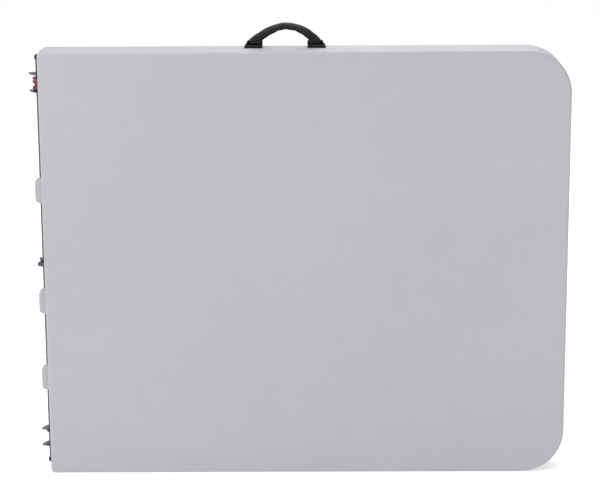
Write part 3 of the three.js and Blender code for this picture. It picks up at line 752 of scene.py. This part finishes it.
# %% [markdown]
# ## Rivets and screws
#
# Small heads finish the joints: two through each hinge plate into its rail, one at each brace
# elbow and ear, and four screws on each brace mount. They are domes turned on a short wall, with
# few faces because there are many, and each set is one piece that rides on its own body.

# %% Heads on plates, strips and mounts
def face_heads(name, node, places, axis, radius, height):
    """Heads on one face of a node: its far side along the axis, at the given places across."""
    low, high = corners(node)
    axis = np.array(axis, float)
    side = np.where(axis > 0, high, low)
    points = [np.where(axis != 0, side, place) for place in places]
    mesh_piece(name, heads(points, axis, radius, height), ZINC, body_of(node))


for label, facing in (("front", -1), ("rear", 1)):
    for edge in ("upper", "lower"):
        for side in ("outer", "inner"):
            node = f"{label}_{edge}_hinge_plate_{side}"
            outward = 1 if (edge == "upper") == (side == "outer") else -1
            places = [(FOLD + x, facing * 22.5, 0) for x in (42, 54)]
            face_heads(f"{node}_rivets", node, places, (0, 0, outward), 3.4, 1.4)
        node = f"{label}_{edge}_brace_long_strip"
        low, high = corners(node)
        outward = 1 if edge == "upper" else -1
        places = [(x, facing * 4.5, 0) for x in (low[0] + 3.6, high[0] - 3.6)]
        face_heads(f"{node}_rivets", node, places[:1], (0, 0, outward), 3.0, 1.3)
    low, high = corners(f"{label}_brace_mount")
    places = [(x, 0, z) for x in (low[0] + 6, high[0] - 6) for z in (low[2] + 7, high[2] - 7)]
    floor = low[1] + 2.7 if facing < 0 else high[1] - 2.7
    screws = [turned(dome(3.6, 1.5), (x, floor, z), (0, -facing, 0), 20) for x, _, z in places]
    mesh_piece(f"{label}_brace_mount_screws", screws, ZINC, f"{label}_half")
print("rivets and screws placed")


# %% [markdown]
# ## Red lock
#
# A red nylon block slides on the rod between the two upper front hinge plates. Seen from the side
# it has a thin flange on top, a groove under it and a waisted body for finger and thumb. It is an
# outline round the rod, carried up in rows, and each row pulls the outer tip in by the waist.

# %% Red lock
low, high = corners("red_lock")
tip = low[0]


def lock_reach(height):
    """How far the tip is pulled in at a height: a groove under the flange, then a soft waist."""
    groove = 5.0 * smooth_step(1 - np.abs(height - 16.4) / 1.6)
    waist = 3.8 * np.exp(-((height - 8.4) / 3.0) ** 2)
    return groove + waist


def lock_shell(rows=40):
    """The outline round the rod at each height, with its tip drawn in by lock_reach."""
    outline = softened([(tip, -17), (FOLD + 19, -20), (FOLD + 19, -9), (FOLD + 8, 4.5),
                        (ROD[0] + 2, 7.2), (ROD[0] - 5, 6.4), (ROD[0] - 8.2, 1)], 3.0, 6)
    size = high[2] - low[2]
    turn = np.linspace(0, np.pi / 2, 5)
    height = np.concatenate([0.9 * (1 - np.cos(turn)), np.linspace(1, size - 1, rows),
                             size - 0.9 * (1 - np.cos(turn[::-1]))])
    shrink = np.concatenate([0.9 * (1 - np.sin(turn)), np.zeros(rows), 0.9 * (1 - np.sin(turn[::-1]))])
    share = smooth_step((FOLD + 4 - outline[:, 0]) / (FOLD + 4 - tip))
    x = outline[:, 0] + share * (lock_reach(height) + shrink)[:, None]
    y = np.broadcast_to(outline[:, 1], x.shape)
    z = np.broadcast_to((low[2] + height)[:, None], x.shape)
    ends = np.arange(len(outline))
    return np.stack([x, y, z], -1), [grid_faces(*x.shape), ends, ends + (len(x) - 1) * len(outline)]


mesh_piece("red_lock_block", [lock_shell()], RED, "lock", ["red_lock"])
print("lock", np.round(high - low, 1), "mm")


# %% [markdown]
# ## Carry handle
#
# The grip is an arch with a thicker socket at each end. A dull rubber band with fine cross ribs
# lies along its middle, and the fingers get shallow scallops underneath. It is an oval section
# carried along the arch. Its size changes along the way, and the band is the same arch again, a
# little proud, over part of the section only. The foot blocks hold the pins that it swings on.

# %% Shape of the grip
mount_low, _ = corners("handle_mount_fold_side")
_, mount_high = corners("handle_mount_outer_side")
GRIP = np.array([(mount_low[0] + mount_high[0]) / 2, (mount_low[1] + mount_high[1]) / 2, WIDTH])
PIVOT, SPAN, TOP = 9.0, 55.0, 36.5


def arch(t):
    """Centre line: upright at the pivots, then a parabola over the hand. t runs from -1 to 1.
    The half nearer the fold is a little straighter than the other half."""
    x = SPAN * np.sign(t) * np.abs(t) ** np.where(t < 0, 1.15, 0.86)
    z = PIVOT + (TOP - PIVOT) * (1 - np.abs(t) ** 1.9)
    return x, z


def grip_sizes(t):
    """Half thickness in the arch's plane, outward and inward, and half width across it."""
    shoulder = smooth_step((np.abs(t) - 0.25) / 0.4)
    socket = smooth_step((np.abs(t) - 0.80) / 0.05)
    fingers = 0.35 * np.cos(2 * np.pi * 3.5 * t) * (np.abs(t) < 0.62)
    outward = 6.1 + 1.2 * shoulder + 0.7 * socket
    inward = 6.1 + 1.1 * shoulder - fingers - 0.8 * socket
    across = 7.2 - 0.2 * socket
    return outward, inward, across


def carried(t, angle, outward, inward, across):
    """Points of an oval carried along the arch, squarer than an ellipse."""
    x, z = arch(t)
    slope = unit(np.stack([np.gradient(x), np.gradient(z)], -1))
    normal = np.stack([-slope[:, 1], slope[:, 0]], -1)
    cos, sin = np.cos(angle), np.sin(angle)
    squarer = (np.abs(cos) ** 3 + np.abs(sin) ** 3) ** (-1 / 3)
    rise = np.where(sin > 0, outward[:, None], inward[:, None]) * sin * squarer
    side = across[:, None] * cos * squarer
    return np.stack([GRIP[0] + x[:, None] + normal[:, :1] * rise, GRIP[1] + side,
                     GRIP[2] + z[:, None] + normal[:, 1:] * rise], -1)


def grip_shell(rows=170, columns=40):
    """The whole grip: both ends close to a point inside the eyes."""
    t = np.linspace(-1, 1, rows)
    angle = np.linspace(0, 2 * np.pi, columns, endpoint=False)[None]
    sizes = [size * np.where(np.abs(t) >= 1, 0, 1) for size in grip_sizes(t)]
    return carried(t, angle, *sizes), [grid_faces(rows, columns)]


def band_shell(side, rows=420, columns=9):
    """The ribbed band on one side: part of the section, lifted by 0.5 with ribs of 0.45."""
    t = np.linspace(-0.66, 0.66, rows)
    spread = np.radians(np.linspace(-34, 34, columns))
    angle = (spread if side > 0 else np.pi - spread)[None]
    rib = 0.5 + 0.5 * np.cos(2 * np.pi * 40 * t)
    edge = np.cos(np.linspace(-np.pi / 2, np.pi / 2, columns))[None] ** 0.5
    outward, inward, across = grip_sizes(t)
    lift = (0.5 + 0.45 * rib)[:, None] * edge
    ends = (np.abs(t) < 0.655)[:, None]
    top = carried(t, angle, outward, inward, across)
    top[..., 1] += side * (lift * ends - 0.6 * ~ends)
    back = top.copy()
    back[..., 1] = GRIP[1] + side * 3.0
    points = np.concatenate([top, back[:, ::-1]], 1)
    caps = [np.arange(2 * columns), np.arange(2 * columns) + (rows - 1) * 2 * columns]
    return points, [grid_faces(rows, 2 * columns)] + caps


# %% Grip, band, eyes and pins
eye = [(41.3, 0), (41.3, 5.4), (42.1, 6.2), (60.4, 6.2), (61.2, 5.4), (61.2, 0)]
pin = [(39.6, 0), (39.6, 2.1), (40.0, 2.5), (65.6, 2.5), (66.0, 2.1), (66.0, 0)]
grip_parts = [grip_shell()]
for side in (-1, 1):
    axis_start = GRIP + [0, 0, PIVOT]
    grip_parts += [turned(eye, axis_start, (side, 0, 0), 32), turned(pin, axis_start, (side, 0, 0), 24)]
mesh_piece("carry_grip_arch", grip_parts, BLACK, "carry_grip", ["handle_grip"])
mesh_piece("carry_grip_band", [band_shell(-1), band_shell(1)], RUBBER, "carry_grip",
           crisp=60)
print("grip centre", np.round(GRIP, 1))


# %% [markdown]
# Each foot block is a thin base with low walls in front and behind, a sloping wall at its outer end
# and a slim rib at its inner end. The pin runs from the rib to the outer wall. The rib tapers, so
# that the grip clears it when it swings. All are plates, drawn from the front or from the side.

# %% Foot blocks
def foot_block(side):
    """Base, front and back walls, outer wall and inner rib, at one end of the handle."""
    def from_front(a, b, depth):
        return GRIP[0] + side * a, GRIP[1] + depth, WIDTH + b

    def from_side(a, b, depth):
        return GRIP[0] + side * depth, GRIP[1] + a, WIDTH + b

    base = softened([(39, 0.3), (70.7, 0.3), (70, 1.7), (39.4, 1.7)], [0.2, 0.2, 0.5, 0.5])
    low_wall = softened([(39, 0.4), (70.6, 0.4), (69.0, 4.2), (67.5, 4.8), (39.4, 4.8)],
                        [0.2, 0.2, 0.8, 1.0, 1.4])
    outer_wall = softened([(61.7, 1), (70.4, 1), (68.0, 5.4), (64.4, 10.8), (61.7, 12.9)],
                          [0.3, 0.8, 2.5, 3.0, 0.8])
    rib = softened([(-5.1, 0.6), (5.1, 0.6), (5.1, 3.2), (3.1, 9.3), (1.9, 11.9), (-1.9, 11.9),
                    (-3.1, 9.3), (-5.1, 3.2)], [0.3, 0.3, 1, 1.5, 1.2, 1.2, 1.5, 1])
    return [plate(base, (-14, 14), 0.5, from_front),
            plate(low_wall, (-14, -9.7), 1.2, from_front),
            plate(low_wall, (9.7, 14), 1.2, from_front),
            plate(outer_wall, (-6.6, 6.6), 1.6, from_front),
            plate(rib, (38.8, 41.0), 0.4, from_side)]


for name, side in (("fold_side", -1), ("outer_side", 1)):
    mesh_piece(f"handle_foot_{name}", foot_block(side), BLACK, "rear_half",
               [f"handle_mount_{name}"])
print("handle foot blocks placed")


# %% [markdown]
# ## Floor, light and camera
#
# The table stands on a plain pale floor in soft light from all round. One broad lamp high on the
# left makes the face a little brighter at its upper left corner, and a cool one overhead picks out
# the upper long edge. The camera stands 3.6 m
# away with a long lens and looks down by about 14 degrees.

# %% Floor
def floor_sheet(size=160.0, count=9):
    """A flat square grid at the object's lowest height."""
    line = np.linspace(-size / 2, size / 2, count) * 1000
    x, y = np.meshgrid(line, line, indexing="ij")
    return np.stack([x, y, np.full_like(x, cad_box[0][2] * 1000 - 0.2)], -1)


floor_mesh = bpy.data.meshes.new("studio_floor")
floor_points = floor_sheet().reshape(-1, 3) / 1000
floor_mesh.from_pydata(floor_points.tolist(), [], grid_faces(9, 9, loop_columns=False)[:, ::-1].tolist())
floor_paint = bpy.data.materials.new("studio_floor_paint")
floor_paint.use_nodes = True
floor_shader = floor_paint.node_tree.nodes["Principled BSDF"]
floor_shader.inputs["Base Color"].default_value = (0.86, 0.86, 0.865, 1)
floor_shader.inputs["Roughness"].default_value = 0.9
floor_shader.inputs["Specular IOR Level"].default_value = 0.0
floor_shader.inputs["Emission Color"].default_value = (1, 1, 1, 1)
floor_shader.inputs["Emission Strength"].default_value = 0.35
floor_mesh.materials.append(floor_paint)
studio_floor = bpy.data.objects.new("studio_floor", floor_mesh)
bpy.context.scene.collection.objects.link(studio_floor)

# %% Light
world = bpy.data.worlds.new("soft_studio")
world.use_nodes = True
world.node_tree.nodes["Background"].inputs["Color"].default_value = (0.98, 0.985, 1.0, 1)
world.node_tree.nodes["Background"].inputs["Strength"].default_value = 0.735
bpy.context.scene.world = world
bpy.context.scene.view_settings.view_transform = "Standard"


def soft_lamp(name, place, target, size, power, colour=(1, 1, 1)):
    """A square area lamp that faces a target."""
    lamp = bpy.data.lights.new(name, "AREA")
    lamp.size, lamp.energy, lamp.color = size, power, colour
    holder = bpy.data.objects.new(name, lamp)
    holder.location = place
    holder.rotation_mode = "QUATERNION"
    holder.rotation_quaternion = (Vector(target) - Vector(place)).to_track_quat("-Z", "Y")
    bpy.context.scene.collection.objects.link(holder)
    return holder


soft_lamp("key_lamp", (-2.4, -2.6, 3.2), (-0.2, 0, 0.5), 1.8, 70)
soft_lamp("back_lamp", (0.6, 2.8, 3.0), (0, 0, 0.4), 2.0, 40)
soft_lamp("overhead_lamp", (-0.2, 0.1, 3.4), (-0.1, 0, 0.8), 2.2, 24, (0.80, 0.78, 1.0))


# %% Camera
def aim_camera(look_at, pitch, yaw, roll, distance, lens):
    """A camera that looks at a point from a distance, down by pitch and turned by yaw and roll."""
    pitch, yaw, roll = (math.radians(angle) for angle in (pitch, yaw, roll))
    right = Vector((math.cos(yaw), math.sin(yaw), 0))
    ahead = Vector((-math.sin(yaw), math.cos(yaw), 0))
    forward = ahead * math.cos(pitch) - Vector((0, 0, 1)) * math.sin(pitch)
    up = Vector((0, 0, 1)) * math.cos(pitch) + ahead * math.sin(pitch)
    across = right * math.cos(roll) - up * math.sin(roll)
    upward = right * math.sin(roll) + up * math.cos(roll)
    data = bpy.data.cameras.new("camera")
    data.lens, data.sensor_width = lens, 36.0
    camera = bpy.data.objects.new("camera", data)
    camera.rotation_mode = "QUATERNION"
    camera.rotation_quaternion = Matrix((across, upward, -forward)).transposed().to_quaternion()
    camera.location = Vector(look_at) - forward * distance
    bpy.context.scene.collection.objects.link(camera)
    return camera


bpy.context.scene.camera = aim_camera((0.00034, FACE / 1000, 0.41284), 13.645, 0.512, 0.351,
                                      3.56005, 122.63)
print("camera at", [round(c, 3) for c in bpy.context.scene.camera.location])
